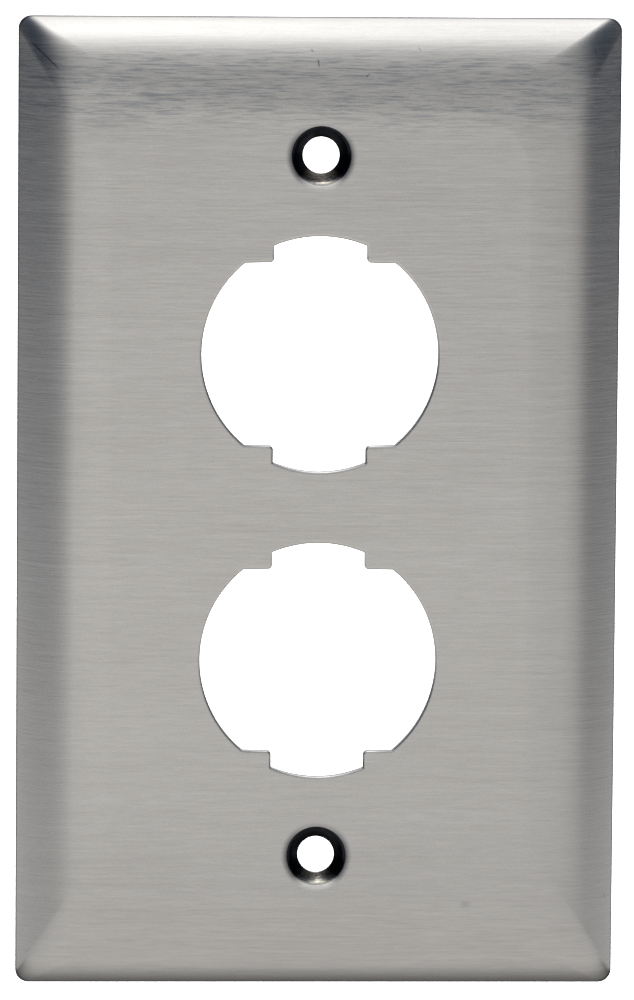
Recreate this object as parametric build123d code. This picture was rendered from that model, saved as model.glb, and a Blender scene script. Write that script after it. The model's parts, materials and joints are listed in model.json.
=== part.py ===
from build123d import *

import os
from math import acos, cos, degrees, radians, sin, tan

# Single-gang wall plate: one pressed sheet of stainless steel with a domed edge, two keyed openings
# for round devices and two dimpled screw holes.
#
# Millimetres. The plate stands as it does on a wall: +Z is up, the face looks toward -Y, and the rim
# seats on the wall at Y = 0. The origin is the plate's centre on the wall.

# Blank
PLATE_WIDTH = 71.4
PLATE_HEIGHT = 115.6
PLATE_DEPTH = 5.2  # from the wall to the face
SHEET = 0.9  # thickness of the steel

# Domed edge: a tight bend at the rim runs into a gentle one that ends flat on the face
BEND_RADIUS = 9.5
BLEND_RADIUS = 34.0
BLEND_ANGLE = 9.0  # degrees between the face and the surface where the two bends meet
RIM_CORNER_RADIUS = 1.6
CORNER_GROWTH = 0.6  # each millimetre in from the rim adds this much to the corner radius
BEND_STEPS = 10
BLEND_STEPS = 8

# Device openings
OPENING_DIAMETER = 27.9
OPENING_FLATS = 21.7  # between the upper and lower flats
KEYWAY_WIDTH = 10.9  # the full circle is kept over this width, above and below
KEYWAY_CORNER = 0.5
OPENING_PITCH = 36.4  # between the centres of the two openings
ROLLOVER = 0.2  # radius that the punch leaves on the front edge of each opening

# Screw holes, for No. 6 countersunk screws
SCREW_PITCH = 83.34
SCREW_HOLE = 4.3
COUNTERSINK_DIAMETER = 6.8  # of the cone, carried up to the face
COUNTERSINK_ANGLE = 82.0
DRAW_RADIUS = 0.7  # rounds the cone into the face
DRAW_END_ANGLE = 12.0  # degrees left between that round and the face
HOLE_LAND = 0.6  # straight wall below the cone

OVERCUT = 1.0  # how far a cutter stands out of what it cuts


def level(height):
    """A plane parallel to the wall at this height off it, with its Y up the plate."""
    return Plane(origin=(0, -height, 0), x_dir=(1, 0, 0), z_dir=(0, -1, 0))


def bend_centre():
    """The rim's bend seen in section: how far in its centre lies, and its height off the wall."""
    blend_drop = BLEND_RADIUS * (1 - cos(radians(BLEND_ANGLE)))
    rim_cosine = cos(radians(BLEND_ANGLE)) - (PLATE_DEPTH - blend_drop) / BEND_RADIUS
    rim_angle = acos(rim_cosine)
    return BEND_RADIUS * sin(rim_angle), -BEND_RADIUS * rim_cosine


def edge_profile(below, lowest):
    """(inset, height, tilt in degrees) up the edge of the surface this far below the outer one.

    The profile starts at the lowest height asked for and ends where the face is flat.
    """
    inset, height = bend_centre()
    radius = BEND_RADIUS - below
    start = degrees(acos((lowest - height) / radius))
    bend = [start + (BLEND_ANGLE - start) * i / BEND_STEPS for i in range(BEND_STEPS + 1)]
    points = [
        (inset - radius * sin(radians(a)), height + radius * cos(radians(a)), a) for a in bend
    ]
    # the gentle bend's centre lies on the line through the tight bend's, where the two meet
    apart = BLEND_RADIUS - BEND_RADIUS
    inset += apart * sin(radians(BLEND_ANGLE))
    height -= apart * cos(radians(BLEND_ANGLE))
    radius = BLEND_RADIUS - below
    blend = [BLEND_ANGLE * (1 - i / BLEND_STEPS) for i in range(1, BLEND_STEPS + 1)]
    points += [
        (inset - radius * sin(radians(a)), height + radius * cos(radians(a)), a) for a in blend
    ]
    return points


def dome(below, lowest):
    """The solid under the surface this far below the outer one, down to the lowest height."""
    sections = []
    for inset, height, tilt in edge_profile(below, lowest):
        outer_inset = inset - below * sin(radians(tilt))
        corner = RIM_CORNER_RADIUS + CORNER_GROWTH * outer_inset - below * sin(radians(tilt))
        outline = RectangleRounded(PLATE_WIDTH - 2 * inset, PLATE_HEIGHT - 2 * inset, corner)
        sections.append(level(height) * outline)
    return loft(sections)


def pressed_sheet():
    return dome(0, 0) - dome(SHEET, -OVERCUT)


def keyed_outline():
    """A round opening with flats above and below, and a keyway through each flat."""
    across = Rectangle(OPENING_DIAMETER, OPENING_FLATS)
    keyway = Rectangle(KEYWAY_WIDTH, OPENING_DIAMETER)
    outline = Circle(OPENING_DIAMETER / 2) & (across + keyway)
    corners = [
        v
        for v in outline.vertices()
        if abs(abs(v.X) - KEYWAY_WIDTH / 2) < 1e-3 and abs(abs(v.Y) - OPENING_FLATS / 2) < 1e-3
    ]
    return fillet(corners, KEYWAY_CORNER)


def opening_cutter(z):
    cut = extrude(level(-OVERCUT) * keyed_outline(), PLATE_DEPTH + 2 * OVERCUT)
    return Pos(0, 0, z) * cut


def front_edges_of_openings(plate):
    """The edges where the openings meet the face."""
    inside = OPENING_DIAMETER / 2 + OVERCUT
    found = []
    for edge in plate.edges():
        place = edge.center()
        near = any(
            (place.X**2 + (place.Z - z) ** 2) ** 0.5 < inside
            for z in (-OPENING_PITCH / 2, OPENING_PITCH / 2)
        )
        if near and abs(place.Y + PLATE_DEPTH) < 1e-3:
            found.append(edge)
    return found


def at(radius, height):
    """A point of a section through a screw's axis, from its radius and its height off the wall."""
    return Vector(radius, -height, 0)


def turned(section, z):
    """The solid that this section makes, turned round the axis of the screw at z."""
    return Pos(0, 0, z) * revolve(section, Axis.Y)


def countersink():
    """(depth of the cone below the face, tangent of its half angle)."""
    slope = tan(radians(COUNTERSINK_ANGLE / 2))
    return (COUNTERSINK_DIAMETER - SCREW_HOLE) / 2 / slope, slope


def dimple(z):
    """The steel pushed in behind the face round a screw hole, before the hole is cut."""
    depth, slope = countersink()
    end = depth + HOLE_LAND
    root = SHEET / 2
    skin = SHEET / cos(radians(COUNTERSINK_ANGLE / 2))

    def radius(down):
        return SCREW_HOLE / 2 + (depth - down) * slope + skin

    inside_sheet = PLATE_DEPTH - root
    back = PLATE_DEPTH - end
    section = [(0, inside_sheet), (radius(root), inside_sheet), (radius(end), back), (0, back)]
    return turned(make_face(Polyline(*[at(r, h) for r, h in section], close=True)), z)


def screw_cutter(z):
    """The countersink with its rounded lip, and the hole below it."""
    depth, slope = countersink()
    face = PLATE_DEPTH
    half_angle = 90 - COUNTERSINK_ANGLE / 2
    # the lip's round touches the cone, and meets the face DRAW_END_ANGLE short of tangent
    centre_h = face - DRAW_RADIUS * cos(radians(DRAW_END_ANGLE))
    touch_h = centre_h + DRAW_RADIUS * cos(radians(half_angle))
    touch_r = SCREW_HOLE / 2 + (touch_h - face + depth) * slope
    centre_r = touch_r + DRAW_RADIUS * sin(radians(half_angle))
    lip_r = centre_r - DRAW_RADIUS * sin(radians(DRAW_END_ANGLE))
    middle = radians((half_angle + DRAW_END_ANGLE) / 2)
    middle_r = centre_r - DRAW_RADIUS * sin(middle)
    middle_h = centre_h + DRAW_RADIUS * cos(middle)
    low = face - depth - HOLE_LAND - OVERCUT
    high = face + OVERCUT
    hole_r = SCREW_HOLE / 2
    lines = [
        Line(at(0, low), at(hole_r, low)),
        Line(at(hole_r, low), at(hole_r, face - depth)),
        Line(at(hole_r, face - depth), at(touch_r, touch_h)),
        ThreePointArc(at(touch_r, touch_h), at(middle_r, middle_h), at(lip_r, face)),
        Line(at(lip_r, face), at(lip_r, high)),
        Line(at(lip_r, high), at(0, high)),
        Line(at(0, high), at(0, low)),
    ]
    return turned(make_face(Curve() + lines), z)


def wall_plate():
    plate = pressed_sheet()
    for z in (-SCREW_PITCH / 2, SCREW_PITCH / 2):
        plate += dimple(z)
        plate -= screw_cutter(z)
    for z in (-OPENING_PITCH / 2, OPENING_PITCH / 2):
        plate -= opening_cutter(z)
    return fillet(front_edges_of_openings(plate), ROLLOVER)


def main():
    os.makedirs("parts", exist_ok=True)
    plate = wall_plate()
    plate.label = "wall_plate"
    export_step(plate, "parts/wall_plate.step")


main()
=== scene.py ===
"""Brushed stainless wall plate with two keyed openings, standing on its lower rim in a pale studio.

Metres, in the part's own frame: +Z is up, the face looks toward -Y, and the rim's land lies on the
wall plane. The plate is modelled as one closed sheet: a quarter of the domed edge is drawn up ring by
ring and mirrored, the flat face is filled between the openings, and the sheet gets its thickness.
"""

import json
from math import acos, cos, hypot, pi, radians, sin, tan

import bmesh
import bpy
from mathutils import Matrix, Vector


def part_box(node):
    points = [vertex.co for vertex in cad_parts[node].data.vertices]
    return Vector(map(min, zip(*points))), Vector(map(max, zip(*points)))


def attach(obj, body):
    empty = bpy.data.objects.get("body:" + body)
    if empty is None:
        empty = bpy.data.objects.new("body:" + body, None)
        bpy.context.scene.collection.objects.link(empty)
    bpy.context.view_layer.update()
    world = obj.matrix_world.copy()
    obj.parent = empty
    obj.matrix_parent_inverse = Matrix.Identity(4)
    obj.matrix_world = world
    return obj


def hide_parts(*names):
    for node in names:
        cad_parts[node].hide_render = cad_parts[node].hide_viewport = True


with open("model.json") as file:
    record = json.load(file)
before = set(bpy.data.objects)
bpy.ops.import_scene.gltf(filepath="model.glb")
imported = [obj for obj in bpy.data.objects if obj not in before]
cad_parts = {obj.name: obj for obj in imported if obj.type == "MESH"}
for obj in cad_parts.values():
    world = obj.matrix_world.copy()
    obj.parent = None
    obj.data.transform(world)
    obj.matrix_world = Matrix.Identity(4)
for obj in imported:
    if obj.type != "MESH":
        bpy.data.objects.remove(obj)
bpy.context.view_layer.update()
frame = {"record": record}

MM = 0.001

# The plate's box and its mounts, from the frame
LOW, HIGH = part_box("wall_plate")
WIDTH = HIGH.x - LOW.x
HEIGHT = HIGH.z - LOW.z
FACE = LOW.y
WALL = HIGH.y
DEPTH = WALL - FACE
MOUNTS = {mount["name"]: mount for mount in frame["record"]["mounts"]}
OPENING_HEIGHTS = [MOUNTS[name]["pos_m"][2] for name in ("upper_opening", "lower_opening")]
SCREW_PITCH = MOUNTS["plate_screws"]["dims"]["spacing_y_mm"] * MM
SCREW_HEIGHTS = [SCREW_PITCH / 2, -SCREW_PITCH / 2]

# Sheet and domed edge
SHEET = 0.9 * MM
BEND_RADIUS = 9.5 * MM
BLEND_RADIUS = 34 * MM
BLEND_TILT = radians(9)
LAST_TILT = radians(2.2)  # where the flat face takes over, and its shading rounds off the rest
CORNER_RADIUS = 1.6 * MM
CORNER_GROWTH = 0.6  # each metre in from the rim adds this much to the corner radius
BEND_RINGS = 26
BLEND_RINGS = 6
CORNER_SEGMENTS = 20
RUN_CUTS = 9
SUPPORT_BAND = 0.4 * MM
RIM_BREAK = 0.12 * MM

# Openings
OPENING_RADIUS = 13.95 * MM
FLAT_REACH = 10.85 * MM
KEYWAY_REACH = 5.45 * MM
KEYWAY_CORNER = 0.5 * MM
ROLL_OVER = 0.28 * MM
BURR_BREAK = 0.05 * MM
OPENING_SEGMENTS = 128

# Screw dimples
SCREW_RADIUS = 2.15 * MM
CONE_RADIUS = 3.4 * MM
CONE_HALF_ANGLE = radians(41)
LIP_RADIUS = 0.7 * MM
DRAW_IN_RADIUS = 3.2 * MM
DRAW_IN_TILT = radians(12)
HOLE_LAND = 0.6 * MM
HOLE_BREAK = 0.06 * MM
BOSS_BREAK = 0.15 * MM
BOSS_FOOT_RADIUS = 0.7 * MM
DIMPLE_REACH = 4.25 * MM
DIMPLE_SEGMENTS = 96

# Finishes
SHEET_MAP = "blank"
MAP_UNIT = 0.1
BRUSHED_ROUGHNESS = 0.27
BRUSH_DEPTH = 0.009 * MM
MILL_DEPTH = 0.008 * MM
SCORE_DEPTH = 0.012 * MM
RUB_DEPTH = 0.006 * MM
BRUSH_GRAIN = 0.75  # anisotropy
PRESSED_REACH = 3.5 * MM
DIMPLE_DEPTH = 1.45 * MM  # down to here the dimple's front is pressed or brushed
FLAT_MARGIN = 9 * MM
WALL_LIMIT = 0.35  # how far a punched edge may face forward: on its wall, and where it rolls over
# an upward-looking roll-over gets the bright sheared colour: a painted highlight
ROLL_OVER_HIGHLIGHT_LIMIT = 0.88
FACE_TONES = [(0.30, (0.40, 0.388, 0.372)), (0.72, (0.56, 0.548, 0.53))]
MILL_TONES = [(0.30, (0.40, 0.395, 0.385)), (0.70, (0.54, 0.53, 0.515))]
SHEARED_TONES = [(0.30, (0.55, 0.545, 0.535)), (0.70, (0.85, 0.84, 0.825))]
# the cones' near-black colour is a painted dark reflection
DARK_CONE_PAINT_TONES = [(0.30, (0.006, 0.007, 0.010)), (0.70, (0.020, 0.022, 0.028))]
# the lighter foot of each cone is a painted highlight
FOOT_HIGHLIGHT_TONES = [(0.30, (0.30, 0.27, 0.225)), (0.70, (0.80, 0.765, 0.70))]
# a painted highlight on the lip under the foot of each dimple
PAINTED_HIGHLIGHT_REACH = (3.4 * MM, 4.35 * MM, 0.9, 0.0)  # from radius, to radius, and strengths
PAINTED_HIGHLIGHT_TONE = (1.0, 0.99, 0.97, 1)
FOOT_HIGHLIGHT_TURN = (radians(18), radians(50))  # where the painted highlight at the foot of each cone starts to fade, and ends
# a ring of painted shade round each dimple, where the sheet draws in; its colour also serves the painted
# shade line along the rim and the small marks
SHADE_HALO_REACH = (3.35 * MM, 4.35 * MM, 0.9, 0.0)
MARK_AND_SHADE_TONE = (0.05, 0.055, 0.07, 1)
SHADE_HALO_TOP = (radians(110), radians(165), 1.0, 0.4)  # the ring of painted shade thins toward the top of each dimple
FRACTURE_ZONE = (FACE + 0.31 * MM, FACE + 0.41 * MM)  # from burnished to broken, on a punched edge
FRACTURE_STRENGTH = 0.92
FRACTURE_TONE = (0.05, 0.05, 0.055, 1)
STREAK_ZONE = (42 * MM, 48 * MM)  # up the plate, where the top bend starts to show the brushing more; the dark streaks there are partly painted shade
STREAK_END = (52.5 * MM, 55 * MM)
STREAK_GRAIN = (0.17, 3.4, 1)  # mm up the plate and across it
STREAK_LEVELS = (0.47, 0.63, 0.0, 0.62)
STREAK_AND_SHADE_TONE = (0.22, 0.24, 0.27, 1)
RIM_SHADE_LINE = (-0.5 * MM, -0.2 * MM, 0.0, 0.7)  # the painted shade line along the rim: from Y, to Y, and strengths
# small marks on the face, the first of them the painted shade of the crease at the upper left corner:
# start X, Z, end X, Z, half width in mm, and strength
MARKS = [
    (-34.3, 54.9, -30.7, 51.5, 0.14, 0.85),
    (-1.25, 54.1, -1.05, 53.9, 0.1, 0.8),
    (-0.45, 53.0, -0.35, 52.1, 0.1, 0.95),
    (5.2, 51.0, 5.55, 51.3, 0.11, 0.85),
    (11.3, 54.4, 11.7, 54.0, 0.08, 0.6),
    (32.25, 54.4, 32.35, 53.6, 0.08, 0.6),
    (17.6, -47.5, 18.0, -47.5, 0.7, 0.2),
    (34.9, 42.2, 35.1, 41.5, 0.14, 0.4),
    (34.5, -46.7, 34.7, -47.3, 0.12, 0.3),
]

# Studio
FLOOR_SIZE = 12
PAPER_SIZE = 3
PAPER_THICKNESS = 0.02 * MM
# how bright the paper is by distance from the plate, in front of it and beside it
PAPER_FRONT = [
    (0.0, (0.80, 0.79, 0.78)),
    (0.05, (0.85, 0.84, 0.825)),
    (0.11, (1.01, 1.0, 0.98)),
    (0.25, (1.09, 1.075, 1.05)),
    (0.5, (1.17, 1.155, 1.125)),
    (1.0, (1.08, 1.065, 1.045)),
]
PAPER_SIDE = [
    (0.0, (0.74, 0.74, 0.74)),
    (0.28, (0.70, 0.70, 0.71)),
    (0.48, (0.55, 0.56, 0.58)),
    (0.70, (0.23, 0.24, 0.27)),
    (0.95, (0.045, 0.05, 0.065)),
]
# painted shade in the card's glow where the plate stands
PAINTED_PAPER_SHADE = (-4 * MM, 1 * MM, 1.0, 0.12)  # from Y, to Y, and how much light is left at each
PAPER_OPENS = 8 * MM  # how far beside the plate that shade ends
PAPER_NARROWS = (0.55, 0.95, 1.0, 1.25)  # the front light is narrower far out: from, to, and factors
PAPER_SIDES = (-0.25, 0.25, 1.09, 0.91)  # a little brighter on the left than on the right
CEILING_LIGHT = 4.0
CEILING_SPREAD = radians(100)
DOME_STRENGTH = 1.0
FRONT_LIGHT = [
    (0.0, (0.30, 0.30, 0.30)),
    (0.46, (0.83, 0.82, 0.81)),
    (0.50, (0.43, 0.435, 0.45)),
    (0.57, (0.48, 0.49, 0.505)),
    (0.65, (0.63, 0.64, 0.65)),
    (0.765, (0.79, 0.79, 0.79)),
    (0.86, (0.86, 0.86, 0.86)),
    (0.945, (1.5, 1.5, 1.5)),
    (0.985, (2.7, 2.7, 2.7)),
    (1.0, (3.9, 3.9, 3.9)),
]
SIDE_LIGHT = [
    (0.0, (0.06, 0.06, 0.065)),
    (0.50, (0.045, 0.06, 0.085)),
    (0.70, (0.035, 0.05, 0.08)),
    (0.86, (0.05, 0.07, 0.11)),
    (0.95, (0.12, 0.15, 0.21)),
    (1.0, (1.3, 1.33, 1.38)),
]
# how much of the front light is left by azimuth: (degrees to the right of the front, share)
FRONT_SHARE = [
    (0.5 + turn / 360, (share, share, share))
    for turn, share in (
        (-180, 0.9),
        (-150, 0.14),
        (-122, 0.08),
        (-90, 0.02),
        (-64, 0.01),
        (-50, 0.07),
        (-40, 0.17),
        (-30, 0.44),
        (-22, 0.70),
        (-13, 0.99),
        (0, 1.0),
        (6, 0.91),
        (14, 0.87),
        (30, 0.79),
        (44, 0.65),
        (58, 0.14),
        (68, 0.0),
        (95, 0.03),
        (122, 0.06),
        (150, 0.14),
        (180, 0.9),
    )
]
FRONT_LEAN = 18 / 360  # how far the front light leans to the left overhead, in turns
FRONT_NARROWS = 0.4  # how much narrower the front light is halfway up than at the horizon

# Camera
CAMERA_AZIMUTH = radians(-2.46)
CAMERA_ELEVATION = radians(7.0)
CAMERA_ROLL = radians(0.457)
CAMERA_DISTANCE = 1.0
CAMERA_RAISE = 0.285 * MM
LENS = 303.1
SENSOR = 36

TOUCH = 1e-6  # how close counts as the same place
CORNER_ANGLE = radians(30)


# ---------------------------------------------------------------- modelling by hand


def deselect_all():
    for thing in bpy.context.selected_objects:
        thing.select_set(False)


def select_only(piece):
    deselect_all()
    bpy.context.view_layer.objects.active = piece
    piece.select_set(True)


def start_editing(piece):
    select_only(piece)
    bpy.ops.object.mode_set(mode="EDIT")
    bpy.ops.mesh.select_mode(type="VERT")
    bpy.ops.mesh.select_all(action="DESELECT")


def stop_editing():
    bpy.ops.object.mode_set(mode="OBJECT")


def pick_points(fits):
    """Selects the points whose place fits."""
    bpy.ops.mesh.select_mode(type="VERT")
    bpy.ops.mesh.select_all(action="DESELECT")
    mesh = bmesh.from_edit_mesh(bpy.context.object.data)
    for point in mesh.verts:
        point.select_set(fits(point.co))
    mesh.select_flush_mode()


def pick_edges(fits):
    """Selects the edges whose two ends both fit."""
    bpy.ops.mesh.select_mode(type="EDGE")
    bpy.ops.mesh.select_all(action="DESELECT")
    mesh = bmesh.from_edit_mesh(bpy.context.object.data)
    for edge in mesh.edges:
        edge.select_set(all(fits(v.co) for v in edge.verts))
    mesh.select_flush_mode()


def pick_corners(fits):
    """Selects the edges where two faces meet at a corner, if both ends fit."""
    bpy.ops.mesh.select_mode(type="EDGE")
    bpy.ops.mesh.select_all(action="DESELECT")
    mesh = bmesh.from_edit_mesh(bpy.context.object.data)
    mesh.normal_update()
    for edge in mesh.edges:
        turned = edge.calc_face_angle(0) > CORNER_ANGLE
        edge.select_set(turned and all(fits(v.co) for v in edge.verts))
    mesh.select_flush_mode()


def pick_open_edges(fits):
    """Selects the edges with a face on one side only whose two ends both fit."""
    bpy.ops.mesh.select_mode(type="EDGE")
    bpy.ops.mesh.select_all(action="DESELECT")
    mesh = bmesh.from_edit_mesh(bpy.context.object.data)
    for edge in mesh.edges:
        edge.select_set(len(edge.link_faces) < 2 and all(fits(v.co) for v in edge.verts))
    mesh.select_flush_mode()


def pick_faces(fits):
    """Selects the faces whose middle and normal fit."""
    bpy.ops.mesh.select_mode(type="FACE")
    bpy.ops.mesh.select_all(action="DESELECT")
    mesh = bmesh.from_edit_mesh(bpy.context.object.data)
    mesh.normal_update()
    for face in mesh.faces:
        face.select_set(fits(face.calc_center_median(), face.normal))


def draw_out(move=(0, 0, 0)):
    """Extrudes what is selected, and moves it."""
    bpy.ops.mesh.extrude_region_move(TRANSFORM_OT_translate={"value": move})


def stretch(factors, centre):
    bpy.ops.transform.resize(value=factors, center_override=centre)


def apply_place(piece):
    select_only(piece)
    bpy.ops.object.transform_apply(location=True, rotation=True, scale=True)


def apply_modifier(piece, kind, **settings):
    select_only(piece)
    modifier = piece.modifiers.new(kind.title(), kind)
    for name, value in settings.items():
        setattr(modifier, name, value)
    bpy.ops.object.modifier_apply(modifier=modifier.name)


def join(pieces):
    deselect_all()
    for piece in pieces:
        piece.select_set(True)
    bpy.context.view_layer.objects.active = pieces[0]
    bpy.ops.object.join()
    return pieces[0]


# ---------------------------------------------------------------- domed edge


def bend_section():
    """(inset from the rim, distance off the wall) up the domed edge, from the rim to the flat face."""
    blend_rise = BLEND_RADIUS * (cos(LAST_TILT) - cos(BLEND_TILT))
    rim_cosine = cos(BLEND_TILT) - (DEPTH - blend_rise) / BEND_RADIUS
    rim_tilt = acos(rim_cosine)
    bend_middle = BEND_RADIUS * sin(rim_tilt)
    blend_middle = bend_middle + (BLEND_RADIUS - BEND_RADIUS) * sin(BLEND_TILT)
    section = []
    for step in range(BEND_RINGS + 1):
        tilt = rim_tilt + (BLEND_TILT - rim_tilt) * step / BEND_RINGS
        off = BEND_RADIUS * (cos(tilt) - rim_cosine)
        section.append((bend_middle - BEND_RADIUS * sin(tilt), off))
    for step in range(1, BLEND_RINGS + 1):
        tilt = BLEND_TILT + (LAST_TILT - BLEND_TILT) * step / BLEND_RINGS
        off = DEPTH - BLEND_RADIUS * (cos(LAST_TILT) - cos(tilt))
        section.append((blend_middle - BLEND_RADIUS * sin(tilt), off))
    return section


def quarter_rim():
    """The rim's line round one quarter of the plate, with its corner rounded."""
    bpy.ops.mesh.primitive_plane_add(size=1, rotation=(pi / 2, 0, 0))
    piece = bpy.context.object
    piece.name = "plate"
    apply_place(piece)
    start_editing(piece)
    bpy.ops.mesh.select_all(action="SELECT")
    stretch((WIDTH / 2, 1, HEIGHT / 2), (0, 0, 0))
    bpy.ops.transform.translate(value=(WIDTH / 4, WALL, HEIGHT / 4))
    pick_points(lambda p: p.x > TOUCH and p.z > TOUCH)
    bpy.ops.mesh.bevel(
        offset=CORNER_RADIUS, segments=CORNER_SEGMENTS, profile=0.5, affect="VERTICES"
    )
    bpy.ops.mesh.select_mode(type="FACE")
    bpy.ops.mesh.select_all(action="SELECT")
    bpy.ops.mesh.delete(type="ONLY_FACE")
    pick_edges(lambda p: p.x < TOUCH)
    bpy.ops.mesh.delete(type="EDGE")
    pick_edges(lambda p: p.z < TOUCH)
    bpy.ops.mesh.delete(type="EDGE")
    for on_run in (lambda p: p.z > HEIGHT / 2 - TOUCH, lambda p: p.x > WIDTH / 2 - TOUCH):
        pick_edges(on_run)
        bpy.ops.mesh.subdivide(number_cuts=RUN_CUTS)
    return piece


def draw_up_rings(section):
    """Draws the rim's line up the section. The corner shrinks toward a point outside the plate, which
    makes its radius grow as it should, and both straight runs follow it."""
    away = (1 + CORNER_GROWTH) / CORNER_GROWTH * CORNER_RADIUS - CORNER_RADIUS
    corner_x = WIDTH / 2 + away
    corner_z = HEIGHT / 2 + away
    bpy.ops.mesh.select_all(action="SELECT")
    for (inset, off), (next_inset, next_off) in zip(section, section[1:]):
        radius = CORNER_RADIUS + CORNER_GROWTH * inset
        next_radius = CORNER_RADIUS + CORNER_GROWTH * next_inset
        run_x = WIDTH / 2 - inset - radius
        run_z = HEIGHT / 2 - inset - radius
        grow = next_radius / radius
        shrink_x = (WIDTH / 2 - next_inset - next_radius) / run_x
        shrink_z = (HEIGHT / 2 - next_inset - next_radius) / run_z
        draw_out((0, off - next_off, 0))
        ring = WALL - next_off

        def on_ring(p):
            return abs(p.y - ring) < TOUCH

        pick_points(lambda p: on_ring(p) and p.x < run_x - TOUCH)
        stretch((shrink_x, 1, grow), (0, ring, corner_z))
        pick_points(lambda p: on_ring(p) and p.z < run_z - TOUCH)
        stretch((grow, 1, shrink_z), (corner_x, ring, 0))
        pick_points(lambda p: on_ring(p) and p.x > run_x - TOUCH and p.z > run_z - TOUCH)
        stretch((grow, 1, grow), (corner_x, ring, corner_z))
        pick_points(on_ring)


def domed_edge():
    """The outer surface of the whole domed edge, open where the flat face goes."""
    piece = quarter_rim()
    draw_up_rings(bend_section())
    stop_editing()
    apply_modifier(
        piece,
        "MIRROR",
        use_axis=(True, False, True),
        use_clip=False,
        merge_threshold=TOUCH,
    )
    return piece


# ---------------------------------------------------------------- openings and dimples


def opening_outline(z):
    """A keyed opening's outline on the face: a disc, cut across at the flats and the keyway."""
    bpy.ops.mesh.primitive_circle_add(
        vertices=OPENING_SEGMENTS,
        radius=OPENING_RADIUS,
        fill_type="NGON",
        location=(0, FACE, z),
        rotation=(pi / 2, 0, 0),
    )
    piece = bpy.context.object
    apply_place(piece)
    start_editing(piece)
    cuts = [((side * KEYWAY_REACH, 0, 0), (1, 0, 0)) for side in (-1, 1)]
    cuts += [((0, 0, z + side * FLAT_REACH), (0, 0, 1)) for side in (-1, 1)]
    for place, normal in cuts:
        bpy.ops.mesh.select_all(action="SELECT")
        bpy.ops.mesh.bisect(plane_co=place, plane_no=normal)
    pick_faces(lambda p, n: abs(p.x) > KEYWAY_REACH and abs(p.z - z) > FLAT_REACH)
    bpy.ops.mesh.delete(type="FACE")
    bpy.ops.mesh.select_all(action="SELECT")
    bpy.ops.mesh.dissolve_limited(angle_limit=radians(0.1))
    pick_points(
        lambda p: abs(abs(p.x) - KEYWAY_REACH) < TOUCH and abs(abs(p.z - z) - FLAT_REACH) < TOUCH
    )
    bpy.ops.mesh.bevel(offset=KEYWAY_CORNER, segments=5, profile=0.5, affect="VERTICES")
    bpy.ops.mesh.select_mode(type="FACE")
    bpy.ops.mesh.select_all(action="SELECT")
    bpy.ops.mesh.delete(type="ONLY_FACE")
    stop_editing()
    return piece


def circle_line(z):
    bpy.ops.mesh.primitive_circle_add(
        vertices=DIMPLE_SEGMENTS,
        radius=DIMPLE_REACH,
        location=(0, FACE, z),
        rotation=(pi / 2, 0, 0),
    )
    piece = bpy.context.object
    apply_place(piece)
    return piece


def arc(radius, start, end, steps):
    """Moves along an arc of a section: (inward, down) from its start, by tilt, the start left out."""
    tilts = [start + (end - start) * step / steps for step in range(1, steps + 1)]
    return [(radius * (sin(t) - sin(start)), radius * (cos(start) - cos(t))) for t in tilts]


def dimple_section():
    """(radius, depth below the face) from the flat face, down the countersink and up behind it."""
    cone_tilt = pi / 2 - CONE_HALF_ANGLE
    slope = tan(CONE_HALF_ANGLE)
    cone_depth = (CONE_RADIUS - SCREW_RADIUS) / slope
    draw_in = arc(DRAW_IN_RADIUS, 0, DRAW_IN_TILT, 6)
    lip = arc(LIP_RADIUS, DRAW_IN_TILT, cone_tilt, 8)
    run = draw_in[-1][0] + lip[-1][0]
    drop = draw_in[-1][1] + lip[-1][1]
    start = SCREW_RADIUS + (cone_depth - drop) * slope + run
    points = [(start, 0)]
    points += [(start - inward, down) for inward, down in draw_in]
    radius, depth = points[-1]
    points += [(radius - inward, depth + down) for inward, down in lip]
    radius, depth = points[-1]
    for share in (0.3, 0.6, 0.85):
        points.append((radius + (SCREW_RADIUS - radius) * share, depth + (cone_depth - depth) * share))
    # the punched hole, its edges broken
    small = HOLE_BREAK
    end = cone_depth + HOLE_LAND
    points += [
        (SCREW_RADIUS + small * 0.8, cone_depth - small),
        (SCREW_RADIUS + small * 0.1, cone_depth - small * 0.2),
        (SCREW_RADIUS, cone_depth + small),
        (SCREW_RADIUS, cone_depth + HOLE_LAND * 0.55),
        (SCREW_RADIUS + small * 0.6, end - small),
        (SCREW_RADIUS + small * 1.2, end),
    ]
    # the boss behind, with a round foot
    wall = SHEET / cos(CONE_HALF_ANGLE)
    boss_end = SCREW_RADIUS + (cone_depth - end) * slope + wall
    boss_edge = BOSS_BREAK
    points += [
        (boss_end - boss_edge, end),
        (boss_end - boss_edge * 0.3, end - boss_edge * 0.15),
        (boss_end + boss_edge * 0.2, end - boss_edge * 0.6),
        (boss_end + boss_edge * slope, end - boss_edge),
    ]
    foot = arc(BOSS_FOOT_RADIUS, 0, cone_tilt, 6)
    foot_run, foot_drop = foot[-1]
    foot_start = boss_end + (end - SHEET - foot_drop) * slope + foot_run
    points += [(foot_start - inward, SHEET + down) for inward, down in reversed(foot)]
    points.append((foot_start, SHEET))
    points.append((DIMPLE_REACH, SHEET))
    return points


def dimple(z):
    """A screw dimple, from its circle on the face round to its circle on the back of the sheet."""
    piece = circle_line(z)
    start_editing(piece)
    bpy.ops.mesh.select_all(action="SELECT")
    radius, depth = DIMPLE_REACH, 0
    for next_radius, next_depth in dimple_section():
        draw_out((0, next_depth - depth, 0))
        share = next_radius / radius
        stretch((share, 1, share), (0, 0, z))
        radius, depth = next_radius, next_depth
    stop_editing()
    return piece


# ---------------------------------------------------------------- the sheet


def on_face(p):
    return abs(p.y - FACE) < TOUCH


def near_screw(p, reach):
    return any(hypot(p.x, p.z - z) < reach for z in SCREW_HEIGHTS)


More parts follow.
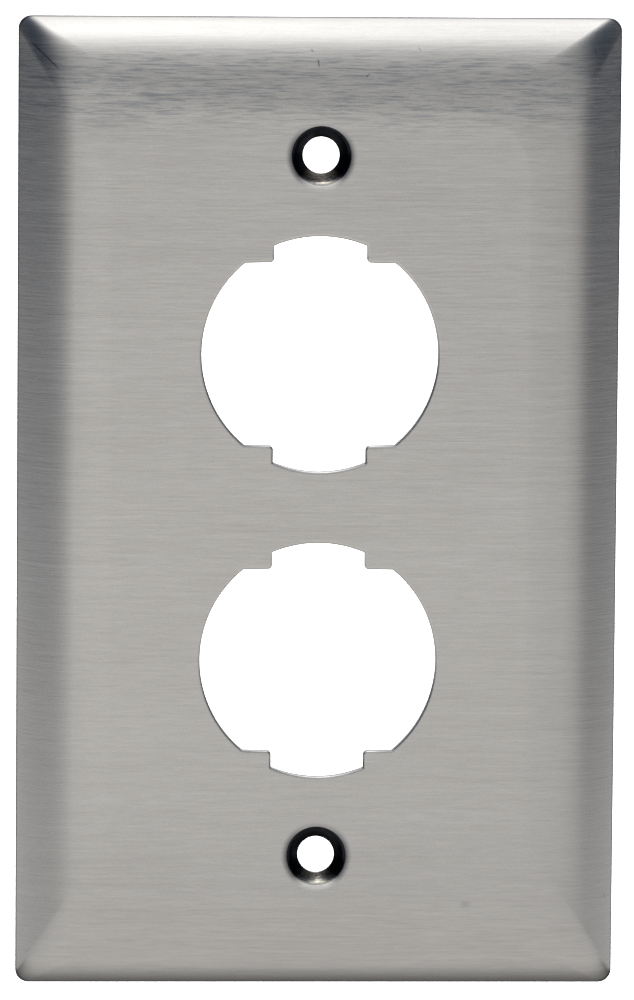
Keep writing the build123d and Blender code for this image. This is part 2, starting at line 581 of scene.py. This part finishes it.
def near_opening(p):
    reach = OPENING_RADIUS + SUPPORT_BAND / 2
    return any(hypot(p.x, p.z - z) < reach for z in OPENING_HEIGHTS)


def fill_face():
    """The flat face, with a narrow band of its own along every edge."""
    pick_open_edges(on_face)
    bpy.ops.mesh.fill(use_beauty=True)
    pick_faces(lambda p, n: on_face(p))
    bpy.ops.mesh.inset(thickness=SUPPORT_BAND, use_boundary=True, use_even_offset=True)
    pick_faces(lambda p, n: on_face(p))
    bpy.ops.mesh.tris_convert_to_quads()


def turn_face_forward():
    """Makes every face agree, and then look outward, away from the wall."""
    bpy.ops.mesh.select_mode(type="FACE")
    bpy.ops.mesh.select_all(action="SELECT")
    bpy.ops.mesh.normals_make_consistent(inside=False)
    mesh = bmesh.from_edit_mesh(bpy.context.object.data)
    flat = next(f for f in mesh.faces if on_face(f.calc_center_median()))
    if flat.normal.y > 0:
        bpy.ops.mesh.flip_normals()


def cut_at_wall():
    """Trims the sheet level with the wall plane, and closes the land that this leaves."""
    bpy.ops.mesh.select_mode(type="VERT")
    bpy.ops.mesh.select_all(action="SELECT")
    bpy.ops.mesh.bisect(
        plane_co=(0, WALL, 0), plane_no=(0, 1, 0), clear_outer=True, use_fill=False, threshold=TOUCH
    )
    pick_open_edges(lambda p: abs(p.y - WALL) < 2 * TOUCH)
    bpy.ops.mesh.bridge_edge_loops()


def soften_edges():
    """The punch's roll-over on the face side, and small breaks at the back and round the rim."""
    pick_corners(lambda p: on_face(p) and near_opening(p))
    bpy.ops.mesh.bevel(offset=ROLL_OVER, segments=5, profile=0.5, affect="EDGES", loop_slide=False)
    back = FACE + SHEET
    pick_corners(lambda p: abs(p.y - back) < TOUCH and near_opening(p))
    bpy.ops.mesh.bevel(offset=BURR_BREAK, segments=2, profile=0.5, affect="EDGES", loop_slide=False)
    pick_corners(lambda p: abs(p.y - WALL) < 2 * TOUCH)
    bpy.ops.mesh.bevel(offset=RIM_BREAK, segments=3, profile=0.5, affect="EDGES", loop_slide=False)


def pressed_plate():
    piece = domed_edge()
    outlines = [opening_outline(z) for z in OPENING_HEIGHTS] + [circle_line(z) for z in SCREW_HEIGHTS]
    piece = join([piece] + outlines)
    start_editing(piece)
    fill_face()
    turn_face_forward()
    stop_editing()
    apply_modifier(
        piece, "SOLIDIFY", thickness=SHEET, offset=-1, use_even_offset=True, use_quality_normals=True
    )
    start_editing(piece)
    cut_at_wall()
    soften_edges()
    pick_faces(lambda p, n: abs(n.y) < 0.5 and near_screw(p, DIMPLE_REACH + TOUCH))
    bpy.ops.mesh.delete(type="FACE")
    stop_editing()
    piece = join([piece] + [dimple(z) for z in SCREW_HEIGHTS])
    start_editing(piece)
    bpy.ops.mesh.select_all(action="SELECT")
    bpy.ops.mesh.remove_doubles(threshold=5 * TOUCH)
    bpy.ops.mesh.select_all(action="SELECT")
    bpy.ops.mesh.normals_make_consistent(inside=False)
    stop_editing()
    return piece


# ---------------------------------------------------------------- finishing the mesh


def dome_stretch(tilt):
    """How much longer the sheet is than its plan, from the flat face out to where it tilts this much."""
    gentle = min(tilt, BLEND_TILT)
    tight = max(tilt, BLEND_TILT)
    in_blend = BLEND_RADIUS * (gentle - sin(gentle))
    return in_blend + BEND_RADIUS * ((tight - BLEND_TILT) - (sin(tight) - sin(BLEND_TILT)))


def unrolled(place, normal):
    """Where this point of the sheet lay before pressing: (up, across), in metres."""
    tilt = acos(min(1, abs(normal.y)))
    plan = Vector((normal.x, normal.z))
    if plan.length < TOUCH or tilt > radians(80):
        return place.z, place.x
    if plan.dot(Vector((place.x, place.z))) < 0:
        plan = -plan
    plan = plan.normalized() * dome_stretch(tilt)
    return place.z + plan.y, place.x + plan.x


def lay_sheet_map(piece):
    """A UV map of the blank before it was pressed, with U up the plate and V across it."""
    mesh = piece.data
    layer = mesh.uv_layers.new(name=SHEET_MAP)
    normals = [v.normal.copy() for v in mesh.vertices]
    spots = [unrolled(v.co, n) for v, n in zip(mesh.vertices, normals)]
    for corner in mesh.loops:
        up, across = spots[corner.vertex_index]
        layer.data[corner.index].uv = (up / MAP_UNIT, across / MAP_UNIT)


def in_flat_area(p):
    return abs(p.x) < WIDTH / 2 - FLAT_MARGIN and abs(p.z) < HEIGHT / 2 - FLAT_MARGIN


def on_punched_edge(p, n):
    """On an opening's wall, or on the roll-over where that looks up; there the bright sheared colour is a
    painted highlight.
    """
    # upward-looking roll-over: its bright sheared colour is a painted highlight
    lit_roll_over = n.z > 0.3 and p.y < FACE + ROLL_OVER
    return in_flat_area(p) and abs(n.y) < (ROLL_OVER_HIGHLIGHT_LIMIT if lit_roll_over else WALL_LIMIT)


def share_out_finishes(piece):
    """Gives each face its finish: brushed outside, mill finish inside, sheared edges, pressed cones."""
    names = ["brushed", "mill", "sheared", "pressed"]
    for face in piece.data.polygons:
        p, n = face.center, face.normal
        screw = near_screw(p, DIMPLE_REACH)
        if screw and p.y < FACE + DIMPLE_DEPTH and n.y < -0.05:
            finish = "pressed" if near_screw(p, PRESSED_REACH) else "brushed"
        elif abs(p.y - WALL) < RIM_BREAK * 0.7 and n.y > 0.3:
            finish = "sheared"
        elif on_punched_edge(p, n):
            finish = "sheared"
        elif in_flat_area(p):
            finish = "brushed" if n.y < 0 else "mill"
        else:
            outward = n.x * p.x + n.z * p.z * WIDTH / HEIGHT
            finish = "brushed" if n.y < 0 or (n.y < 0.3 and outward > 0) else "mill"
        face.material_index = names.index(finish)


def smooth(piece):
    select_only(piece)
    bpy.ops.object.shade_smooth()
    apply_modifier(piece, "WEIGHTED_NORMAL", mode="FACE_AREA", weight=50, keep_sharp=True)


# ---------------------------------------------------------------- materials


def new_finish(name):
    material = bpy.data.materials.new(name)
    material.use_nodes = True
    tree = material.node_tree
    shader = tree.nodes["Principled BSDF"]
    shader.inputs["Metallic"].default_value = 1.0
    return material, tree, shader


def node(tree, kind, **settings):
    made = tree.nodes.new(kind)
    for name, value in settings.items():
        setattr(made, name, value)
    return made


def feed(tree, value, socket):
    """Links an output to a socket, or sets the socket to a number."""
    if hasattr(value, "is_output"):
        tree.links.new(value, socket)
    else:
        socket.default_value = value


def reckon(tree, operation, first, second=0.0):
    made = node(tree, "ShaderNodeMath", operation=operation)
    feed(tree, first, made.inputs[0])
    feed(tree, second, made.inputs[1])
    return made.outputs[0]


def total(tree, parts):
    """The sum of (value, share) pairs."""
    whole = 0.0
    for value, share in parts:
        whole = reckon(tree, "ADD", reckon(tree, "MULTIPLY", value, share), whole)
    return whole


def blend(tree, share, first, second):
    mixed = node(tree, "ShaderNodeMix", data_type="RGBA")
    feed(tree, share, mixed.inputs["Factor"])
    feed(tree, first, mixed.inputs["A"])
    feed(tree, second, mixed.inputs["B"])
    return mixed.outputs["Result"]


def azimuth(tree, across, along):
    """Turn to the right of the front, from 0 to 1 with the front at the middle."""
    turn = reckon(tree, "ARCTAN2", across, reckon(tree, "MULTIPLY", along, -1.0))
    return reckon(tree, "ADD", reckon(tree, "DIVIDE", turn, 2 * pi), 0.5)


def split(tree, places):
    """The X, Y and Z of places, each as an output of its own."""
    parts = node(tree, "ShaderNodeSeparateXYZ")
    feed(tree, places, parts.inputs[0])
    return parts.outputs


def shades(tree, value, stops):
    """A ramp of colours, from (position, colour) pairs."""
    ramp = node(tree, "ShaderNodeValToRGB")
    feed(tree, value, ramp.inputs["Fac"])
    steps = ramp.color_ramp.elements
    while len(steps) < len(stops):
        steps.new(0.5)
    for step, (position, colour) in zip(steps, stops):
        step.position = position
        step.color = (*colour, 1)
    return ramp.outputs["Color"]


def far_out(tree, first, second):
    """Distance from the middle, from the two ways across."""
    squares = [reckon(tree, "POWER", way, 2.0) for way in (first, second)]
    return reckon(tree, "SQRT", reckon(tree, "ADD", *squares))


def ease(tree, value, start, end, low, high):
    """Goes smoothly from low to high while the value goes from start to end."""
    slope = node(tree, "ShaderNodeMapRange", interpolation_type="SMOOTHSTEP")
    names = ("Value", "From Min", "From Max", "To Min", "To Max")
    for name, setting in zip(names, (value, start, end, low, high)):
        feed(tree, setting, slope.inputs[name])
    return slope.outputs["Result"]


def grain(tree, places, size, offset, detail=2.0, roughness=0.5):
    """Noise whose grain has this size in millimetres along each axis of the places given."""
    unit = MAP_UNIT / MM if places.name == "UV" else 1 / MM
    mapping = node(tree, "ShaderNodeMapping")
    feed(tree, places, mapping.inputs["Vector"])
    mapping.inputs["Scale"].default_value = [unit / s for s in size]
    mapping.inputs["Location"].default_value = (offset * 7.3, offset * 3.1, offset * 11.7)
    noise = node(tree, "ShaderNodeTexNoise")
    feed(tree, mapping.outputs["Vector"], noise.inputs["Vector"])
    noise.inputs["Scale"].default_value = 1.0
    noise.inputs["Detail"].default_value = detail
    noise.inputs["Roughness"].default_value = roughness
    return noise.outputs["Fac"]


def bumps(tree, height, depth):
    bump = node(tree, "ShaderNodeBump")
    bump.inputs["Strength"].default_value = 1.0
    bump.inputs["Distance"].default_value = depth
    feed(tree, height, bump.inputs["Height"])
    return bump.outputs["Normal"]


def sheet_places(tree):
    return node(tree, "ShaderNodeUVMap", uv_map=SHEET_MAP).outputs["UV"]


def object_places(tree):
    return node(tree, "ShaderNodeTexCoord").outputs["Object"]


def around_screws(tree):
    """Distance from the nearer screw hole's axis, and turn round it away from its foot."""
    across, _, up = split(tree, object_places(tree))
    middle = reckon(tree, "MULTIPLY", reckon(tree, "SIGN", up), SCREW_PITCH / 2)
    rise = reckon(tree, "SUBTRACT", up, middle)
    turn = reckon(tree, "ARCTAN2", reckon(tree, "ABSOLUTE", across), reckon(tree, "MULTIPLY", rise, -1.0))
    return far_out(tree, across, rise), turn


def mark(tree, across, up, start, end, half_width):
    """1 on a thin line between two places given in millimetres as (X, Z), fading to 0 beside it."""
    length = hypot(end[0] - start[0], end[1] - start[1])
    way = ((end[0] - start[0]) / length, (end[1] - start[1]) / length)
    x = reckon(tree, "SUBTRACT", across, (start[0] + end[0]) / 2 * MM)
    z = reckon(tree, "SUBTRACT", up, (start[1] + end[1]) / 2 * MM)
    along = reckon(tree, "ABSOLUTE", total(tree, [(x, way[0]), (z, way[1])]))
    beside = reckon(tree, "ABSOLUTE", total(tree, [(x, way[1]), (z, -way[0])]))
    thin = ease(tree, beside, 0.0, half_width * MM, 1.0, 0.0)
    ends = ease(tree, along, length * 0.3 * MM, (length * 0.5 + half_width) * MM, 1.0, 0.0)
    return reckon(tree, "MULTIPLY", thin, ends)


def dimple_painted_shade_and_highlight(tree, steel):
    """The dimples' surroundings: a ring of painted shade beside them, and a painted highlight under the
    foot of each.
    """
    distance, turn = around_screws(tree)
    # ring of painted shade, left out at the foot and thinner at the top
    shade_ring = ease(tree, distance, *SHADE_HALO_REACH)
    shade_ring = reckon(tree, "MULTIPLY", shade_ring, ease(tree, turn, *FOOT_HIGHLIGHT_TURN, 0.0, 1.0))
    shade_ring = reckon(tree, "MULTIPLY", shade_ring, ease(tree, turn, *SHADE_HALO_TOP))
    steel = blend(tree, shade_ring, steel, MARK_AND_SHADE_TONE)
    # painted highlight under the foot of each dimple
    painted_highlight = ease(tree, distance, *PAINTED_HIGHLIGHT_REACH)
    painted_highlight = reckon(tree, "MULTIPLY", painted_highlight, ease(tree, turn, *FOOT_HIGHLIGHT_TURN, 1.0, 0.0))
    return blend(tree, painted_highlight, steel, PAINTED_HIGHLIGHT_TONE)


def streaks_marks_and_painted_shade(tree, places, steel):
    """Streaks under the top bend, partly painted shade, a painted shade line along the rim, and the small
    marks of use, the first of which is the painted shade of the crease at the upper left corner.
    """
    across, out, up = split(tree, object_places(tree))
    # dark bluish streaks: brushing marks, and partly painted shade under the top bend
    streak_and_shade = ease(tree, grain(tree, places, STREAK_GRAIN, 12, 3, 0.65), *STREAK_LEVELS)
    streak_and_shade = reckon(tree, "MULTIPLY", streak_and_shade, ease(tree, up, *STREAK_ZONE, 0.0, 1.0))
    streak_and_shade = reckon(tree, "MULTIPLY", streak_and_shade, ease(tree, up, *STREAK_END, 1.0, 0.0))
    steel = blend(tree, streak_and_shade, steel, STREAK_AND_SHADE_TONE)
    # painted shade line along the rim
    steel = blend(tree, ease(tree, out, *RIM_SHADE_LINE), steel, MARK_AND_SHADE_TONE)
    for x0, z0, x1, z1, half_width, strength in MARKS:
        # the first mark is the painted shade of the corner crease, the rest are marks of use
        line_mark = mark(tree, across, up, (x0, z0), (x1, z1), half_width)
        steel = blend(tree, reckon(tree, "MULTIPLY", line_mark, strength), steel, MARK_AND_SHADE_TONE)
    return steel


def brushed_finish():
    """Stainless steel brushed across the plate, and seen on a sheet that was brushed before pressing."""
    material, tree, shader = new_finish("brushed_stainless")
    places = sheet_places(tree)
    hair = grain(tree, places, (0.11, 2.6, 1), 1, 3, 0.6)
    line = grain(tree, places, (0.24, 9, 1), 2, 2)
    band = grain(tree, places, (1.6, 45, 1), 3, 2)
    cloud = grain(tree, places, (14, 22, 1), 4, 2)
    tone = total(tree, [(hair, 0.5), (line, 0.3), (band, 0.15), (cloud, 0.12)])
    steel = dimple_painted_shade_and_highlight(tree, shades(tree, tone, FACE_TONES))
    steel = streaks_marks_and_painted_shade(tree, places, steel)
    feed(tree, steel, shader.inputs["Base Color"])
    # the noises average one half, so the gloss is centred on its value
    gloss = total(tree, [(hair, 0.10), (line, 0.06), (band, 0.03)])
    feed(tree, reckon(tree, "ADD", gloss, BRUSHED_ROUGHNESS - 0.095), shader.inputs["Roughness"])
    height = total(tree, [(hair, 0.6), (line, 0.7)])
    feed(tree, bumps(tree, height, BRUSH_DEPTH), shader.inputs["Normal"])
    shader.inputs["Anisotropic"].default_value = BRUSH_GRAIN
    tangent = node(tree, "ShaderNodeTangent", direction_type="UV_MAP", uv_map=SHEET_MAP)
    feed(tree, tangent.outputs["Tangent"], shader.inputs["Tangent"])
    return material


def mill_finish():
    """The back, dull and even as it came off the roll, with faint rolling lines up the plate."""
    material, tree, shader = new_finish("mill_back")
    places = object_places(tree)
    speck = grain(tree, places, (0.25, 0.25, 0.35), 5, 3, 0.6)
    roll = grain(tree, places, (0.5, 0.5, 14), 6, 2)
    cloud = grain(tree, places, (11, 11, 11), 7, 3)
    tone = total(tree, [(speck, 0.35), (roll, 0.3), (cloud, 0.35)])
    feed(tree, shades(tree, tone, MILL_TONES), shader.inputs["Base Color"])
    gloss = total(tree, [(speck, 0.12), (roll, 0.06), (cloud, 0.12)])
    feed(tree, reckon(tree, "ADD", gloss, 0.27), shader.inputs["Roughness"])
    height = total(tree, [(speck, 0.7), (roll, 0.4)])
    feed(tree, bumps(tree, height, MILL_DEPTH), shader.inputs["Normal"])
    return material


def sheared_finish():
    """Edges left by the punch and the trim, scored through the thickness."""
    material, tree, shader = new_finish("sheared_edge")
    places = object_places(tree)
    score = grain(tree, places, (0.09, 0.9, 0.09), 8, 2)
    patch = grain(tree, places, (1.2, 0.5, 1.2), 9, 2)
    tone = total(tree, [(score, 0.6), (patch, 0.4)])
    _, out, _ = split(tree, places)
    broken = ease(tree, out, *FRACTURE_ZONE, 0.0, FRACTURE_STRENGTH)
    in_face = ease(tree, out, FACE + SHEET, FACE + 2 * SHEET, 1.0, 0.0)
    broken = reckon(tree, "MULTIPLY", broken, in_face)
    edge = blend(tree, broken, shades(tree, tone, SHEARED_TONES), FRACTURE_TONE)
    feed(tree, edge, shader.inputs["Base Color"])
    feed(tree, reckon(tree, "ADD", reckon(tree, "MULTIPLY", score, 0.2), 0.22), shader.inputs["Roughness"])
    feed(tree, bumps(tree, score, SCORE_DEPTH), shader.inputs["Normal"])
    return material


def dimple_cone_paint():
    """The dimple cones: a near-black painted dark reflection, with a painted highlight at the foot of
    each, and a rubbed grain.
    """
    material, tree, shader = new_finish("dimple_cone_painted_dark")
    places = object_places(tree)
    rub = grain(tree, places, (0.35, 0.3, 0.12), 10, 2)
    cloud = grain(tree, places, (1.4, 1.4, 1.4), 11, 2)
    tone = total(tree, [(rub, 0.6), (cloud, 0.4)])
    _, turn = around_screws(tree)
    # painted highlight at the foot of the cone
    foot_highlight = ease(tree, turn, *FOOT_HIGHLIGHT_TURN, 1.0, 0.0)
    dark = shades(tree, tone, DARK_CONE_PAINT_TONES)
    feed(tree, blend(tree, foot_highlight, dark, shades(tree, tone, FOOT_HIGHLIGHT_TONES)), shader.inputs["Base Color"])
    feed(tree, reckon(tree, "ADD", reckon(tree, "MULTIPLY", rub, 0.14), 0.12), shader.inputs["Roughness"])
    feed(tree, bumps(tree, rub, RUB_DEPTH), shader.inputs["Normal"])
    return material


# ---------------------------------------------------------------- studio


def studio_world():
    """A soft dome: bright overhead, dim toward the horizon, dimmer and cooler at both sides."""
    world = bpy.data.worlds.new("studio")
    bpy.context.scene.world = world
    world.use_nodes = True
    tree = world.node_tree
    background = tree.nodes["Background"]
    across, along, up = split(tree, node(tree, "ShaderNodeTexCoord").outputs["Generated"])
    height = reckon(tree, "ADD", reckon(tree, "MULTIPLY", up, 0.5), 0.5)
    front = shades(tree, height, FRONT_LIGHT)
    side = shades(tree, height, SIDE_LIGHT)
    # narrower halfway up, and leaning to the left overhead
    rise = reckon(tree, "MAXIMUM", up, 0.0)
    arch = reckon(tree, "MULTIPLY", rise, reckon(tree, "SUBTRACT", 1.0, rise))
    narrow = reckon(tree, "ADD", reckon(tree, "MULTIPLY", arch, 4 * FRONT_NARROWS), 1.0)
    turn = reckon(tree, "SUBTRACT", azimuth(tree, across, along), 0.5)
    turn = reckon(tree, "ADD", reckon(tree, "MULTIPLY", turn, narrow), 0.5)
    lean = reckon(tree, "MULTIPLY", rise, FRONT_LEAN)
    share = shades(tree, reckon(tree, "ADD", turn, lean), FRONT_SHARE)
    dome = blend(tree, share, side, front)
    camera_ray = node(tree, "ShaderNodeLightPath").outputs["Is Camera Ray"]
    feed(tree, blend(tree, camera_ray, dome, (1, 1, 1, 1)), background.inputs["Color"])
    background.inputs["Strength"].default_value = DOME_STRENGTH


def pale_floor():
    """Near-white, and lit a little from within so that the plate's own shade doesn't show on it."""
    material = bpy.data.materials.new("pale_floor")
    material.use_nodes = True
    shader = material.node_tree.nodes["Principled BSDF"]
    shader.inputs["Base Color"].default_value = (0.86, 0.86, 0.86, 1)
    shader.inputs["Roughness"].default_value = 0.9
    shader.inputs["Specular IOR Level"].default_value = 0.0
    shader.inputs["Emission Color"].default_value = (1, 1, 1, 1)
    shader.inputs["Emission Strength"].default_value = 1.0
    return material


def floor():
    bpy.ops.mesh.primitive_plane_add(size=FLOOR_SIZE, location=(0, 0, LOW.z - 4 * PAPER_THICKNESS))
    piece = bpy.context.object
    piece.name = "floor"
    piece.data.materials.append(pale_floor())
    piece.visible_glossy = False


def reflection_card_glow():
    """Glows bright in front of the plate, falling off into the dark beside it, with painted shade where
    the plate stands.
    """
    material = bpy.data.materials.new("reflection_card_glow")
    material.use_nodes = True
    tree = material.node_tree
    tree.nodes.remove(tree.nodes["Principled BSDF"])
    glow = node(tree, "ShaderNodeEmission")
    feed(tree, glow.outputs[0], tree.nodes["Material Output"].inputs["Surface"])
    across, along, _ = split(tree, object_places(tree))
    beside = reckon(tree, "SUBTRACT", reckon(tree, "ABSOLUTE", across), WIDTH / 2)
    outside = reckon(tree, "MULTIPLY", reckon(tree, "MAXIMUM", beside, 0.0), reckon(tree, "SIGN", across))
    distance = far_out(tree, outside, along)
    front = shades(tree, distance, PAPER_FRONT)
    side = shades(tree, distance, PAPER_SIDE)
    widened = reckon(tree, "MULTIPLY", outside, ease(tree, distance, *PAPER_NARROWS))
    share = shades(tree, azimuth(tree, widened, along), FRONT_SHARE)
    feed(tree, blend(tree, share, side, front), glow.inputs["Color"])
    # painted shade where the plate stands
    shade = ease(tree, along, *PAINTED_PAPER_SHADE)
    opened = ease(tree, beside, 0.0, PAPER_OPENS, 0.0, 1.0)
    lit = reckon(tree, "MAXIMUM", shade, opened)
    lit = reckon(tree, "MULTIPLY", lit, ease(tree, across, *PAPER_SIDES))
    feed(tree, lit, glow.inputs["Strength"])
    return material


def paper():
    """A glowing card on the floor that only the steel sees, in its reflections."""
    bpy.ops.mesh.primitive_plane_add(size=PAPER_SIZE, location=(0, 0, LOW.z - PAPER_THICKNESS))
    piece = bpy.context.object
    piece.name = "glowing_reflection_card"
    apply_place(piece)
    piece.data.materials.append(reflection_card_glow())
    piece.visible_camera = False
    piece.visible_diffuse = False
    piece.visible_shadow = False


def ceiling_light():
    """A broad even light from above that whitens the floor; the steel reflects the dome instead."""
    light = bpy.data.lights.new("ceiling_light", "SUN")
    light.energy = CEILING_LIGHT
    light.angle = CEILING_SPREAD
    lamp = bpy.data.objects.new("ceiling_light", light)
    bpy.context.scene.collection.objects.link(lamp)
    lamp.location = (0, 0, 1)
    lamp.visible_glossy = False
    lamp.visible_camera = False


def camera():
    level = cos(CAMERA_ELEVATION)
    back = Vector(
        (sin(CAMERA_AZIMUTH) * level, -cos(CAMERA_AZIMUTH) * level, sin(CAMERA_ELEVATION))
    )
    right = Vector((0, 0, 1)).cross(back).normalized()
    up = back.cross(right)
    lean, upright = sin(CAMERA_ROLL), cos(CAMERA_ROLL)
    right, up = right * upright + up * lean, up * upright - right * lean
    data = bpy.data.cameras.new("camera")
    data.lens = LENS
    data.sensor_width = SENSOR
    data.clip_start = 0.01
    viewer = bpy.data.objects.new("camera", data)
    bpy.context.scene.collection.objects.link(viewer)
    turn = Matrix((right, up, back)).transposed().to_4x4()
    viewer.matrix_world = Matrix.Translation(back * CAMERA_DISTANCE + up * CAMERA_RAISE) @ turn
    bpy.context.scene.camera = viewer


# ---------------------------------------------------------------- the scene

plate = pressed_plate()
for finish in (brushed_finish(), mill_finish(), sheared_finish(), dimple_cone_paint()):
    plate.data.materials.append(finish)
share_out_finishes(plate)
smooth(plate)
lay_sheet_map(plate)
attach(plate, "root")
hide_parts("wall_plate")

studio_world()
ceiling_light()
floor()
paper()
camera()
bpy.context.scene.view_settings.view_transform = "Standard"
